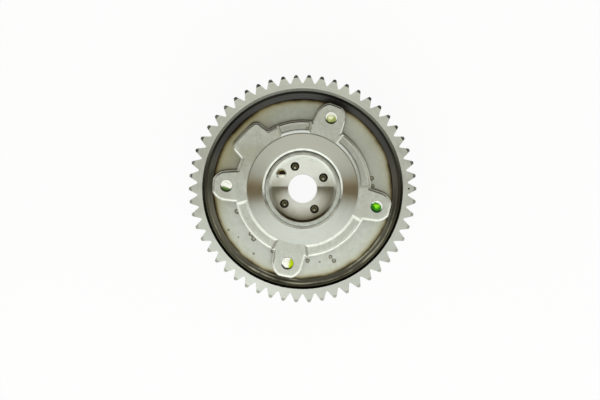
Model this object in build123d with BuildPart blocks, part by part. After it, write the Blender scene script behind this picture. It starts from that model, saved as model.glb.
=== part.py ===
from build123d import *
import os
from math import atan2, cos, degrees, pi, radians, sin, tan

# Vane-type camshaft phaser with a silent-chain sprocket. Sizes are in mm and degrees.
# Z is the axis of rotation. The front cover's boss stands on z = 0 and the camshaft side looks up.
# Angles run anticlockwise seen from the camshaft side, from the timing mark on the +X side of the rim.

# Sprocket
teeth = 54
chain_pitch = 6.35
tip_above_pitch = 0.145
tooth_depth = 4.05
gap_half_angle = 30.0
gap_root_width = 0.6
gap_mouth_margin = 0.5
tip_chamfer = 1.4
rim_width = 13.5
rim_rise = 6.3
rim_thickness = 3.6
rim_bevel = 1.2
dish_radius = 3.5
timing_mark_radius = 0.5
timing_mark_depth = 0.3
timing_mark_inset = 3.7

# Stack along the axis, from the front cover's boss to the camshaft side
front_boss_height = 4.2
front_cover_thickness = 4.0
stator_length = 16.0
web_thickness = 4.5
ear_thickness = 5.8
disc_rise = 0.4

# Clamped outline with its four screw ears
ear_angles = (68.0, 177.8, 258.5, 346.4)
ear_gap = 3.6
ear_overhang = 6.8
ear_boss = 7.4
ear_flare = 5.0
ear_foot_depth = 5.0

# Locating boss and its dowel
boss_angle = 137.15
boss_overhang = 3.5
boss_half_width = 8.9
boss_corner = 3.2
boss_root = 2.0
dowel_land = 1.5
dowel_diameter = 4.0
dowel_length = 10.5
dowel_in_cover = 3.0

# Rear cover
cover_overlap = 0.6
ledge_height = 1.0
ledge_width = 0.55
edge_break = 0.45
disc_radius = 26.8
journal_clearance = 0.05
cover_bore_chamfer = 1.15
pocket_depth = 1.3
pocket_run = 1.4
pocket_floor_gap = 1.6
pocket_inset = 1.5
first_pocket_stop = 110.5

# Stator and chambers
screw_land = 1.0
stator_shoulder = 2.1
stator_inset = 0.4
spigot_wall = 2.4
lobe_half_angle = 15.0
chamber_corner = 0.9
lobe_corner = 1.1

# Rotor
hub_clearance = 0.05
tip_clearance = 0.05
side_clearance = 0.05
travel = 28.5
stop_clearance = 0.25
vane_lead = 44.4
vane_span = 20.5
vane_root = 0.8
vane_corner = 1.0
collar_recess = 0.2
collar_chamfer = 0.8
collar_wall = 3.2
hub_shoulder = 2.8
pilot_radius = 15.0
pilot_depth = 4.2
pilot_lead_run = 1.3
pilot_lead_depth = 0.9
bolt_bore_radius = 7.05
bolt_recess_radius = 12.5
bolt_recess_depth = 5.5
nose_wall = 4.45
nose_clearance = 0.05
nose_gap = 0.5

# Oil ports in the camshaft face, the drillings that they feed, and the camshaft dowel hole
port_land = 1.45
port_diameter = 4.3
port_depth = 12.0
port_lead = 2.75
drilling_diameter = 2.6
advance_drilling_rise = 12.0
retard_drilling_rise = 5.5
retard_lag = 2.4
cam_dowel_angle = 144.5
cam_dowel_land = 0.4
cam_dowel_diameter = 4.0
cam_dowel_depth = 5.0

# Seal strips and their leaf springs
slot_width = 2.0
slot_depth = 3.5
seal_height = 2.6
seal_clearance = 0.02
leaf_thickness = 0.25
leaf_width = 1.6
wide_vane_seal_offset = 17.2

# Lock pin in the wide vane, its spring and cap, and its seat in the rear cover.
# Its place and diameters are shares of the room between the journal and the vane's tip.
lock_place = 0.53
seat_share = 0.8
lock_bore_share = 0.65
lock_tip_share = 0.54
lock_spring_bore_share = 0.46
lock_pin_clearance = 0.05
lock_pin_length = 12.0
lock_tip_length = 3.0
lock_tip_chamfer = 0.5
lock_tip_recess = 0.05
lock_spring_bore_depth = 8.0
lock_spring_wire = 0.7
lock_spring_turns = 4
lock_spring_runs = 12
lock_spring_clearance = 0.15
cap_thickness = 1.6
cap_recess = 0.2
cap_vent_diameter = 2.4
seat_height = 4.0
seat_clearance = 0.15
unlock_groove_width = 2.0
unlock_groove_depth = 0.8
unlock_groove_overrun = 4.0
vent_groove_width = 2.0
vent_groove_depth = 0.75

# Cover screws, M6 x 30 with hexagon heads
screw_diameter = 6.0
screw_length = 30.0
screw_clearance = 0.3
screw_head_width = 10.0
screw_head_height = 3.6
screw_tip_chamfer = 0.5

# Front cover
front_boss_wall = 6.0
front_boss_chamfer = 0.8

# Heights that follow from the stack
z_seat = front_boss_height
z_stator = z_seat + front_cover_thickness
z_web = z_stator + stator_length
z_cover = z_web + web_thickness
z_ears = z_cover + ear_thickness
z_disc = z_ears + disc_rise
z_pocket = z_ears - pocket_depth
z_rim_top = z_cover + rim_rise
z_rim_bottom = z_rim_top - rim_width
z_rotor = z_stator + side_clearance
z_rotor_top = z_cover - side_clearance
z_collar = z_disc - collar_recess
z_cam_face = z_collar - pilot_depth
z_bolt_seat = nose_gap + bolt_recess_depth
z_dowel = z_cover + dowel_in_cover - dowel_length
z_lock_tip = z_rotor_top - lock_tip_recess
z_lock_pin = z_lock_tip - lock_pin_length
z_cap = z_rotor + cap_recess
rotor_length = z_rotor_top - z_rotor

# Radii that follow from the chain, inward to the chambers
pitch_radius = chain_pitch / (2 * sin(pi / teeth))
tip_radius = pitch_radius + tip_above_pitch
root_radius = tip_radius - tooth_depth
rim_wall_radius = root_radius - rim_thickness
ear_reach = rim_wall_radius - ear_gap
screw_circle = ear_reach - ear_overhang
screw_hole_radius = screw_diameter / 2 + screw_clearance
spigot_radius = screw_circle - screw_hole_radius - screw_land
stator_ring = spigot_radius + stator_shoulder
cover_ring = spigot_radius + cover_overlap
cover_edge = cover_ring - ledge_width
ear_foot = cover_ring - ear_foot_depth
dowel_circle = spigot_radius + dowel_land + dowel_diameter / 2
boss_reach = dowel_circle + boss_overhang
chamber_radius = spigot_radius - spigot_wall
vane_radius = chamber_radius - tip_clearance

# Radii that follow from the camshaft and its bolt, outward to the hub
port_circle = pilot_radius - port_land - port_diameter / 2
cam_dowel_circle = pilot_radius - cam_dowel_land - cam_dowel_diameter / 2
journal_radius = pilot_radius + collar_wall
cover_bore = journal_radius + journal_clearance
lobe_radius = journal_radius + hub_shoulder
hub_radius = lobe_radius - hub_clearance
pocket_floor_radius = disc_radius + pocket_floor_gap
nose_radius = bolt_recess_radius + nose_wall
front_opening = nose_radius + nose_clearance
front_boss_radius = front_opening + front_boss_wall

# Lock pin sizes that follow from the room for it
lock_room = vane_radius - cover_bore
lock_circle = cover_bore + lock_place * lock_room
seat_diameter = seat_share * lock_room
lock_bore_diameter = lock_bore_share * lock_room
lock_tip_diameter = lock_tip_share * lock_room
lock_spring_bore = lock_spring_bore_share * lock_room
lock_pin_radius = lock_bore_diameter / 2 - lock_pin_clearance
seat_bore = lock_tip_diameter / 2 + seat_clearance

# Angles of the chambers, vanes, seals and ports
next_ears = ear_angles[1:] + (ear_angles[0] + 360,)
chamber_starts = [angle + lobe_half_angle for angle in ear_angles]
chamber_stops = [angle - lobe_half_angle for angle in next_ears]
wide_vane_start = chamber_starts[0] + stop_clearance + travel
wide_vane_stop = chamber_stops[0] - stop_clearance
lock_angle = (wide_vane_start + wide_vane_stop) / 2
vane_starts = [wide_vane_start] + [angle + vane_lead for angle in ear_angles[1:]]
vane_stops = [wide_vane_stop] + [start + vane_span for start in vane_starts[1:]]
vane_seal_angles = [lock_angle + wide_vane_seal_offset]
vane_seal_angles += [start + vane_span / 2 for start in vane_starts[1:]]
port_angles = [start - port_lead for start in vane_starts]
retard_angles = [stop + retard_lag for stop in vane_stops]


def spot(radius, angle):
    """Point in the plane at a radius and an angle about the axis."""
    return (radius * cos(radians(angle)), radius * sin(radians(angle)))


def turned(angle, radius=0):
    """Location at a radius along an angle, with its own x pointing outward."""
    return Location((*spot(radius, angle), 0), (0, 0, angle))


def nearest(vertices, spots):
    """The vertex closest to each of the given points."""
    return [vertices.sort_by_distance(Vector(*point))[0] for point in spots]


def radial_plane(angle, radius, height):
    """Plane that faces outward along the angle, with its own y along the axis."""
    x_dir = Vector(-sin(radians(angle)), cos(radians(angle)), 0)
    return Plane(origin=(*spot(radius, angle), height), x_dir=x_dir, z_dir=Vector(*spot(1, angle)))


def section_plane(angle):
    """Plane through the axis, with its own x outward along the angle and its own y along the axis."""
    z_dir = Vector(sin(radians(angle)), -cos(radians(angle)), 0)
    return Plane(origin=(0, 0, 0), x_dir=Vector(*spot(1, angle)), z_dir=z_dir)


def sector(inner, outer, start, stop):
    """Flat ring sector between two radii and two angles."""
    with BuildSketch() as shape:
        with BuildLine():
            near = CenterArc((0, 0), inner, start, stop - start)
            far = CenterArc((0, 0), outer, start, stop - start)
            Line(near @ 0, far @ 0)
            Line(near @ 1, far @ 1)
        make_face()
    return shape.sketch


def boss_outline(inset):
    """Wide locating boss, rounded at its outer corners."""
    half_width = boss_half_width - inset
    reach = boss_reach - inset
    foot_half_width = half_width + (reach - ear_foot) * tan(radians(ear_flare))
    corner_angle = degrees(half_width / reach)
    with BuildSketch() as shape:
        with Locations(turned(boss_angle)):
            Polygon(
                (ear_foot, -foot_half_width),
                (ear_foot, foot_half_width),
                (reach, half_width),
                (reach, -half_width),
                align=None,
            )
        Circle(reach, mode=Mode.INTERSECT)
        corners = [spot(reach, boss_angle + side * corner_angle) for side in (-1, 1)]
        fillet(nearest(shape.vertices(), corners), boss_corner - inset)
    return shape.sketch


def clamp_outline(ring, inset, with_boss=True):
    """Ring with four screw ears and, where asked, the locating boss, all drawn in by an inset."""
    boss = ear_boss - inset
    tangent_out = screw_circle + boss * sin(radians(ear_flare))
    half_width = boss * cos(radians(ear_flare))
    foot_half_width = half_width + (tangent_out - ear_foot) * tan(radians(ear_flare))
    with BuildSketch() as outline:
        with Locations(*[turned(angle) for angle in ear_angles]):
            Polygon(
                (ear_foot, -foot_half_width),
                (ear_foot, foot_half_width),
                (tangent_out, half_width),
                (tangent_out, -half_width),
                align=None,
            )
        with Locations(*[turned(angle, screw_circle) for angle in ear_angles]):
            Circle(boss)
        Circle(ear_reach - inset, mode=Mode.INTERSECT)
        Circle(ring)
        if with_boss:
            add(boss_outline(inset))
            root_angle = degrees(boss_half_width / ring)
            roots = [spot(ring, boss_angle + side * root_angle) for side in (-1, 1)]
            fillet(nearest(outline.vertices(), roots), boss_root)
    return outline.sketch


def screw_holes(radius):
    """One circle at each of the four ears, for holes on the screw circle."""
    with BuildSketch() as holes:
        with Locations(*[turned(angle, screw_circle) for angle in ear_angles]):
            Circle(radius)
    return holes.sketch


def seal_strip(angle, tip, outward):
    """Section of a seal strip: flat sides and back, and a rubbing edge curved to the wall it runs on."""
    back = tip - seal_height if outward else tip + seal_height
    beyond = tip + seal_height if outward else tip - seal_height
    with BuildSketch() as strip:
        with Locations(turned(angle, (back + beyond) / 2)):
            Rectangle(2 * seal_height, slot_width - 2 * seal_clearance)
        Circle(tip, mode=Mode.INTERSECT if outward else Mode.SUBTRACT)
    return strip.sketch


def leaf_section(bottom, crown):
    """Side view of a leaf spring, cranked from the slot bottom at both ends to the seal's back."""
    side = 1 if crown > bottom else -1
    low = z_rotor + leaf_width / 2
    high = z_rotor_top - leaf_width / 2
    crank = (high - low) / 4
    foot = bottom + side * leaf_thickness
    back = crown - side * leaf_thickness
    with BuildSketch() as leaf:
        with BuildLine():
            Polyline(
                (bottom, low),
                (back, low + crank),
                (back, high - crank),
                (bottom, high),
                (foot, high),
                (crown, high - crank),
                (crown, low + crank),
                (foot, low),
                close=True,
            )
        make_face()
    return leaf.sketch


# Sprocket: toothed rim round a web, hollowed from both sides, with clearance holes and a timing mark.
# A tooth's tip is a flat and the dish's radius is two cones, which keep the face count low.
dish_turns = [spot(dish_radius, angle) for angle in (90, 45, 0)]
dish = [(rim_wall_radius - dish_radius + x, z_cover + dish_radius - y) for x, y in dish_turns]
with BuildPart() as sprocket:
    with BuildSketch(Plane.XY.offset(z_rim_bottom)):
        RegularPolygon(tip_radius, teeth, major_radius=False, rotation=180 / teeth)
    extrude(amount=rim_width)
    rim_ends = sprocket.edges().group_by(Axis.Z)
    chamfer(rim_ends[0] + rim_ends[-1], tip_chamfer)
    with BuildSketch(Plane.XZ):
        with BuildLine():
            Polyline(
                (0, z_cover),
                *dish,
                (rim_wall_radius, z_rim_top - rim_bevel),
                (rim_wall_radius + rim_bevel, z_rim_top),
                (0, z_rim_top),
                close=True,
            )
        make_face()
    revolve(axis=Axis.Z, mode=Mode.SUBTRACT)
    with BuildSketch(Plane.XY.offset(z_rim_bottom)):
        Circle(rim_wall_radius)
    extrude(amount=z_web - z_rim_bottom, mode=Mode.SUBTRACT)
    mouth = tip_radius + gap_mouth_margin
    root_half_width = gap_root_width / 2
    mouth_half_width = root_half_width + (mouth - root_radius) * tan(radians(gap_half_angle))
    with BuildSketch(Plane.XY.offset(z_rim_bottom)):
        with PolarLocations(0, teeth, start_angle=180 / teeth):
            Polygon(
                (root_radius, -root_half_width),
                (mouth, -mouth_half_width),
                (mouth, mouth_half_width),
                (root_radius, root_half_width),
                align=None,
            )
    extrude(amount=rim_width, mode=Mode.SUBTRACT)
    with BuildSketch(Plane.XY.offset(z_rim_top)):
        with Locations((tip_radius - timing_mark_inset, 0)):
            RegularPolygon(timing_mark_radius, 6)
    extrude(amount=-timing_mark_depth, mode=Mode.SUBTRACT)
    with BuildSketch(Plane.XY.offset(z_web)):
        Circle(spigot_radius)
        add(screw_holes(screw_hole_radius))
        with Locations(turned(boss_angle, dowel_circle)):
            Circle(dowel_diameter / 2)
    extrude(amount=web_thickness, mode=Mode.SUBTRACT)
sprocket.part.label = "sprocket"

# Rear cover: stepped edge, lowered sectors between the ears, raised disc and threaded ears
with BuildPart() as rear_cover:
    with BuildSketch(Plane.XY.offset(z_cover)):
        add(clamp_outline(cover_ring, 0))
    extrude(amount=ledge_height)
    with BuildSketch(Plane.XY.offset(z_cover + ledge_height)):
        add(clamp_outline(cover_edge, ledge_width))
    extrude(amount=ear_thickness - ledge_height)
    ear_face = rear_cover.faces().sort_by(Axis.Z)[-1]
    chamfer(ear_face.outer_wire().edges(), edge_break)
    pocket_starts = [start + pocket_inset for start in chamber_starts]
    pocket_stops = [first_pocket_stop] + [stop - pocket_inset for stop in chamber_stops[1:]]
    pocket_slope = degrees(atan2(pocket_run, pocket_depth))
    break_side = edge_break * 2**0.5
    with BuildSketch(Plane.XY.offset(z_pocket)):
        for start, stop in zip(pocket_starts, pocket_stops):
            add(sector(pocket_floor_radius, ear_reach, start, stop))
    extrude(amount=pocket_depth, taper=-pocket_slope, mode=Mode.SUBTRACT)
    for start, stop in zip(pocket_starts, pocket_stops):
        with BuildSketch(section_plane(start)):
            with Locations((cover_edge, z_pocket)):
                Rectangle(break_side, break_side, rotation=45)
        revolve(axis=Axis.Z, revolution_arc=stop - start, mode=Mode.SUBTRACT)
    with BuildSketch(Plane.XY.offset(z_ears)):
        Circle(disc_radius)
    extrude(amount=disc_rise)
    with Locations((0, 0, z_disc)):
        Hole(cover_bore)
    bore_rims = rear_cover.edges().filter_by(GeomType.CIRCLE).group_by(Axis.Z)[-1]
    chamfer(bore_rims.sort_by(SortBy.RADIUS)[0], cover_bore_chamfer)
    with BuildSketch(Plane.XY.offset(z_cover)):
        add(screw_holes(screw_diameter / 2))
    extrude(amount=ear_thickness, mode=Mode.SUBTRACT)
    with BuildSketch(Plane.XY.offset(z_cover)):
        with Locations(turned(lock_angle, lock_circle)):
            Circle(seat_diameter / 2)
    extrude(amount=seat_height, mode=Mode.SUBTRACT)
    with BuildSketch(Plane.XY.offset(z_cover)):
        with Locations(turned(boss_angle, dowel_circle)):
            Circle(dowel_diameter / 2)
    extrude(amount=dowel_in_cover, mode=Mode.SUBTRACT)
    groove_start = wide_vane_start - unlock_groove_overrun
    groove_line = CenterArc((0, 0), lock_circle, groove_start, lock_angle - groove_start, mode=Mode.PRIVATE)
    with BuildSketch(Plane.XY.offset(z_cover)):
        SlotArc(groove_line, unlock_groove_width)
    extrude(amount=unlock_groove_depth, mode=Mode.SUBTRACT)
rear_cover.part.label = "rear_cover"

# Stator: vane housing with four lobes, seal slots and a spigot through the sprocket's web
with BuildPart() as stator:
    with BuildSketch(Plane.XY.offset(z_stator)):
        add(clamp_outline(stator_ring, stator_inset))
    extrude(amount=stator_length)
    with BuildSketch(Plane.XY.offset(z_web)):
        Circle(spigot_radius)
    extrude(amount=web_thickness)
    with BuildSketch(Plane.XY.offset(z_stator)) as chambers:
        Circle(lobe_radius)
        for start, stop in zip(chamber_starts, chamber_stops):
            add(sector(lobe_radius - lobe_corner, chamber_radius, start, stop))
        sides = chamber_starts + chamber_stops
        chamfer(nearest(chambers.vertices(), [spot(lobe_radius, a) for a in sides]), lobe_corner)
        chamfer(nearest(chambers.vertices(), [spot(chamber_radius, a) for a in sides]), chamber_corner)
        with Locations(*[turned(angle, lobe_radius) for angle in ear_angles]):
            Rectangle(2 * slot_depth, slot_width)
    extrude(amount=z_cover - z_stator, mode=Mode.SUBTRACT)
    with BuildSketch(Plane.XY.offset(z_stator)):
        add(screw_holes(screw_hole_radius))
    extrude(amount=stator_length, mode=Mode.SUBTRACT)
    with BuildSketch(Plane.XY.offset(z_dowel)):
        with Locations(turned(boss_angle, dowel_circle)):
            Circle(dowel_diameter / 2)
    extrude(amount=z_web - z_dowel, mode=Mode.SUBTRACT)
stator.part.label = "stator"

# Rotor: hub with three narrow vanes and a wide one, bored for the camshaft, its bolt and the oil
with BuildPart() as rotor:
    with BuildSketch(Plane.XY.offset(z_rotor)) as vanes:
        Circle(hub_radius)
        for start, stop in zip(vane_starts, vane_stops):
            add(sector(hub_radius - vane_root, vane_radius, start, stop))
        sides = vane_starts + vane_stops
        chamfer(nearest(vanes.vertices(), [spot(hub_radius, a) for a in sides]), vane_root)
        chamfer(nearest(vanes.vertices(), [spot(vane_radius, a) for a in sides]), vane_corner)
        with Locations(*[turned(angle, vane_radius) for angle in vane_seal_angles]):
            Rectangle(2 * slot_depth, slot_width, mode=Mode.SUBTRACT)
    extrude(amount=rotor_length)
    with BuildSketch(Plane.XY.offset(z_rotor_top)):
        Circle(journal_radius)
    extrude(amount=z_collar - z_rotor_top)
    chamfer(rotor.edges().group_by(Axis.Z)[-1], collar_chamfer)
    with BuildSketch(Plane.XY.offset(nose_gap)):
        Circle(nose_radius)
    extrude(amount=z_rotor - nose_gap)
    with BuildSketch(Plane.XZ):
        with BuildLine():
            Polyline(
                (0, nose_gap),
                (bolt_recess_radius, nose_gap),
                (bolt_recess_radius, z_bolt_seat),
                (bolt_bore_radius, z_bolt_seat),
                (bolt_bore_radius, z_cam_face),
                (pilot_radius, z_cam_face),
                (pilot_radius, z_collar - pilot_lead_depth),
                (pilot_radius + pilot_lead_run, z_collar),
                (0, z_collar),
                close=True,
            )
        make_face()
    revolve(axis=Axis.Z, mode=Mode.SUBTRACT)
    with Locations(*[(*spot(port_circle, angle), z_cam_face) for angle in port_angles]):
        Hole(port_diameter / 2, port_depth)
    with Locations((*spot(cam_dowel_circle, cam_dowel_angle), z_cam_face)):
        Hole(cam_dowel_diameter / 2, cam_dowel_depth)
    for angle in port_angles:
        with BuildSketch(radial_plane(angle, port_circle, z_rotor + advance_drilling_rise)):
            Circle(drilling_diameter / 2)
        extrude(amount=lobe_radius - port_circle, mode=Mode.SUBTRACT)
    for angle in retard_angles:
        with BuildSketch(radial_plane(angle, 0, z_rotor + retard_drilling_rise)):
            Circle(drilling_diameter / 2)
        extrude(amount=lobe_radius, mode=Mode.SUBTRACT)
    with BuildSketch(Plane.XY.offset(z_rotor)):
        with Locations(turned(lock_angle, lock_circle)):
            Circle(lock_bore_diameter / 2)
    extrude(amount=rotor_length, mode=Mode.SUBTRACT)
    vent_start = nose_radius - vent_groove_depth
    with BuildSketch(Plane.XY.offset(nose_gap)):
        with Locations(turned(lock_angle, nose_radius)):
            Rectangle(2 * vent_groove_depth, vent_groove_width)
    extrude(amount=z_rotor - nose_gap, mode=Mode.SUBTRACT)
    with BuildSketch(Plane.XY.offset(z_rotor)):
        with Locations(turned(lock_angle, (vent_start + lock_circle) / 2)):
            Rectangle(lock_circle - vent_start, vent_groove_width)
    extrude(amount=vent_groove_depth, mode=Mode.SUBTRACT)
rotor.part.label = "rotor"

# Front cover: plate that closes the chambers, with the boss that the assembly stands on
with BuildPart() as front_cover:
    with BuildSketch(Plane.XY.offset(z_seat)):
        add(clamp_outline(stator_ring, stator_inset, with_boss=False))
    extrude(amount=front_cover_thickness)
    with BuildSketch(Plane.XY):
        Circle(front_boss_radius)
    extrude(amount=front_boss_height)
    chamfer(front_cover.edges().group_by(Axis.Z)[0], front_boss_chamfer)
    with Locations((0, 0, z_stator)):
        Hole(front_opening)
    with BuildSketch(Plane.XY.offset(z_seat)):
        add(screw_holes(screw_hole_radius))
    extrude(amount=front_cover_thickness, mode=Mode.SUBTRACT)
front_cover.part.label = "front_cover"

# Cover screw: hexagon head on the front cover, and a chamfered tip
with BuildPart() as screw:
    with BuildSketch(Plane.XY.offset(z_seat)):
        RegularPolygon(screw_head_width / 2, 6, major_radius=False)
    extrude(amount=-screw_head_height)
    with BuildSketch(Plane.XY.offset(z_seat)):
        Circle(screw_diameter / 2)
    extrude(amount=screw_length)
    chamfer(screw.edges().group_by(Axis.Z)[-1], screw_tip_chamfer)

with BuildPart() as cover_screws:
    with Locations(*[turned(angle, screw_circle) for angle in ear_angles]):
        add(screw.part)
cover_screws.part.label = "cover_screws"

# Locating dowel through the stator, the web and the rear cover, under the wide boss
with BuildPart() as locating_dowel:
    with BuildSketch(Plane.XY.offset(z_dowel)):
        with Locations(turned(boss_angle, dowel_circle)):
            Circle(dowel_diameter / 2)
    extrude(amount=dowel_length)
locating_dowel.part.label = "locating_dowel"

# Lock pin: hollow for its spring, with a stepped tip that enters the seat
with BuildPart() as lock_pin:
    with BuildSketch(Plane.XY.offset(z_lock_pin)):
        with Locations(turned(lock_angle, lock_circle)):
            Circle(lock_pin_radius)
    extrude(amount=lock_pin_length - lock_tip_length)
    with BuildSketch(Plane.XY.offset(z_lock_tip - lock_tip_length)):
        with Locations(turned(lock_angle, lock_circle)):
            Circle(lock_tip_diameter / 2)
    extrude(amount=lock_tip_length)
    chamfer(lock_pin.edges().group_by(Axis.Z)[-1], lock_tip_chamfer)
    with BuildSketch(Plane.XY.offset(z_lock_pin)):
        with Locations(turned(lock_angle, lock_circle)):
            Circle(lock_spring_bore / 2)
    extrude(amount=lock_spring_bore_depth, mode=Mode.SUBTRACT)
lock_pin.part.label = "lock_pin"

# Cap pressed into the rotor behind the lock pin, with a vent through it
with BuildPart() as lock_pin_cap:
    with BuildSketch(Plane.XY.offset(z_cap)):
        with Locations(turned(lock_angle, lock_circle)):
            Circle(lock_bore_diameter / 2)
            Circle(cap_vent_diameter / 2, mode=Mode.SUBTRACT)
    extrude(amount=cap_thickness)
lock_pin_cap.part.label = "lock_pin_cap"

# Lock pin spring, between the cap and the bottom of the pin's bore
spring_radius = lock_spring_bore / 2 - lock_spring_clearance - lock_spring_wire / 2
spring_low = z_cap + cap_thickness + lock_spring_wire / 2
spring_height = z_lock_pin + lock_spring_bore_depth - lock_spring_wire / 2 - spring_low
spring_x, spring_y = spot(lock_circle, lock_angle)
coil_points = []
for step in range(lock_spring_turns * lock_spring_runs + 1):
    x, y = spot(spring_radius, 360 * step / lock_spring_runs)
    rise = spring_height * step / (lock_spring_turns * lock_spring_runs)
    coil_points.append((spring_x + x, spring_y + y, spring_low + rise))
with BuildPart() as lock_pin_spring:
    with BuildLine() as coil:
        Polyline(*coil_points)
    with BuildSketch(Plane(origin=coil.line @ 0, x_dir=(1, 0, 0), z_dir=coil.line % 0)):
        Rectangle(lock_spring_wire, lock_spring_wire)
    sweep(path=coil.line, transition=Transition.RIGHT)
lock_pin_spring.part.label = "lock_pin_spring"

# Lock pin seat: hardened bush in the rear cover, with the unlock groove running into it
with BuildPart() as lock_pin_seat:
    with BuildSketch(Plane.XY.offset(z_cover)):
        with Locations(turned(lock_angle, lock_circle)):
            Circle(seat_diameter / 2)
            Circle(seat_bore, mode=Mode.SUBTRACT)
    extrude(amount=seat_height)
    with BuildSketch(Plane.XY.offset(z_cover)):
        SlotArc(groove_line, unlock_groove_width)
    extrude(amount=unlock_groove_depth, mode=Mode.SUBTRACT)
lock_pin_seat.part.label = "lock_pin_seat"

pieces = [
    sprocket,
    rear_cover,
    stator,
    rotor,
    front_cover,
    cover_screws,
    locating_dowel,
    lock_pin,
    lock_pin_cap,
    lock_pin_spring,
    lock_pin_seat,
]

# Seal strips and leaf springs, one pair in each vane tip and one in each stator lobe
vane_tip = chamber_radius - seal_clearance
lobe_tip = hub_radius + seal_clearance
vane_slot = vane_radius - slot_depth
lobe_slot = lobe_radius + slot_depth
seal_sites = [("vane", i, angle, vane_tip, vane_slot) for i, angle in enumerate(vane_seal_angles, 1)]
seal_sites += [("lobe", i, angle, lobe_tip, lobe_slot) for i, angle in enumerate(ear_angles, 1)]
for carrier, number, angle, tip, slot_bottom in seal_sites:
    outward = tip > slot_bottom
    with BuildPart() as seal:
        with BuildSketch(Plane.XY.offset(z_rotor + seal_clearance)):
            add(seal_strip(angle, tip, outward))
        extrude(amount=rotor_length - 2 * seal_clearance)
    seal.part.label = f"{carrier}_seal_{number}"
    pieces.append(seal)
    back = tip - seal_height if outward else tip + seal_height
    with BuildPart() as leaf:
        with BuildSketch(section_plane(angle)):
            add(leaf_section(slot_bottom, back))
        extrude(amount=leaf_width / 2, both=True)
    leaf.part.label = f"{carrier}_seal_spring_{number}"
    pieces.append(leaf)

os.makedirs("parts", exist_ok=True)
for piece in pieces:
    export_step(piece.part, f"parts/{piece.part.label}.step")
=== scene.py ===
import math

import bmesh
import bpy
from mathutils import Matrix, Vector, noise


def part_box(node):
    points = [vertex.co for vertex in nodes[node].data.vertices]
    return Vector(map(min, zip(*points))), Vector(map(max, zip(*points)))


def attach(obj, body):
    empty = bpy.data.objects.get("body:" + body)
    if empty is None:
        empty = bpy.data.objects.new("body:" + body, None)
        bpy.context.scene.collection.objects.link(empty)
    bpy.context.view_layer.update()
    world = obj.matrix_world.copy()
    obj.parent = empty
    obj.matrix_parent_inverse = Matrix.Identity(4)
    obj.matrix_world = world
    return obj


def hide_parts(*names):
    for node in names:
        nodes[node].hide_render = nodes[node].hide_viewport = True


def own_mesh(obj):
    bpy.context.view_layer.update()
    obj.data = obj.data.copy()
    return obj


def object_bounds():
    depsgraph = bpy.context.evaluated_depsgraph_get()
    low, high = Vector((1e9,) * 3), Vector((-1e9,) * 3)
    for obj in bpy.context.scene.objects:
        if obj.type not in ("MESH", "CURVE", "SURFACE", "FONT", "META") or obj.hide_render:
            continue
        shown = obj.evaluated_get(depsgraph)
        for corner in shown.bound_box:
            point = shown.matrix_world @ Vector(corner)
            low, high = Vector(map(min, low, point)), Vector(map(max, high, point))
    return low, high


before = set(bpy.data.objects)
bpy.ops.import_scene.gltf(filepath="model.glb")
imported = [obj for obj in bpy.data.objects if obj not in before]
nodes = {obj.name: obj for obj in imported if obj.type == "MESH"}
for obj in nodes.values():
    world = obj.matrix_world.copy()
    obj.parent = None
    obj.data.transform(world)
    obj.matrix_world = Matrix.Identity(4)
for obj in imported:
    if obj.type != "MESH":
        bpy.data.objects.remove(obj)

MM = 0.001
cad_low, cad_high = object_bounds()

# The photograph's framing: how many pixels the object's outer radius takes, and where its axis lies
image_width = 600
axis_right_px = 2.6
axis_up_px = 11.3
outer_radius_px = 113.9
camera_distance = 0.9
sensor_width = 36.0

# Heights and radii of the solids that materials and added pieces go by
tip_radius = cad_high.x
rim_top = cad_high.z
rim_wall_radius = tip_radius - 7.65 * MM
bevel_width = 1.25 * MM
web_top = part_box("rear_cover")[0].z
screw_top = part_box("cover_screws")[1].z
disc_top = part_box("rear_cover")[1].z
ear_top = disc_top - 0.4 * MM
pocket_top = ear_top - 1.3 * MM
pocket_reach = 31.9 * MM
pocket_floor_radius = 28.4 * MM
cover_ring, cover_edge = 33.0 * MM, 32.45 * MM
disc_radius = 26.8 * MM
ear_reach = 43.5 * MM
cam_face = 30.5 * MM
cover_bore_edge = 19.5 * MM
front_opening = 17.2 * MM
collar_inner = 16.35 * MM
journal_radius = 18.2 * MM
bolt_bore_radius = 7.05 * MM
bolt_seat_radius = 12.5 * MM
screw_circle = 36.7 * MM
screw_radius = 3.0 * MM
ear_angles = (68.0, 177.8, 258.5, 346.4)
ear_half_width = 7.4 * MM
boss_angle = 137.15
boss_half_width, boss_corner, boss_end = 8.9 * MM, 3.2 * MM, 39.4 * MM
flank_slant = math.sin(math.radians(5))
port_circle = 11.4 * MM
port_radius, port_depth = 2.15 * MM, 12 * MM
port_angles = (28.05, 109.0, 219.45, 300.15)
cam_dowel_circle = 12.6 * MM
cam_dowel_angle = 144.5
cam_dowel_radius, cam_dowel_depth = 2.0 * MM, 5 * MM
timing_mark_place, timing_mark_radius = tip_radius - 3.7 * MM, 0.5 * MM
timing_mark_low, timing_mark_high = rim_top - MM, rim_top - 0.02 * MM

# Radii: web's temper tint, dish's rings of rubbed scale and painted highlight, dish wall, a mean one for
# drawn out marks
tint_start, tint_end = 36 * MM, 44 * MM
upper_rub, lower_rub, dish_wall = 45.9 * MM, 44.3 * MM, 46.4 * MM
mean_radius = 40 * MM

# Faces are told apart by place, give or take the slack or the wider margin, and by the upward part of the
# normal. It stays below the first limit on a wall, between the first two on a slope, and above the third
# on a level face. Chamfers, edge breaks and the ledge are found within the last three sizes
slack, margin = 0.05 * MM, 0.1 * MM
wall_limit, slope_limit, level_limit = 0.3, 0.95, 0.9
tooth_chamfer_reach, edge_break_height, ledge_height = 1.5 * MM, 0.45 * MM, 1.1 * MM

# Thread-locker stays in from the screw's edge and below the rim, and its beads and rings swell a little
bead_inset, bead_gap, bead_swell, ring_swell = 0.55 * MM, 0.06 * MM, 0.06, 0.02

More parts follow.
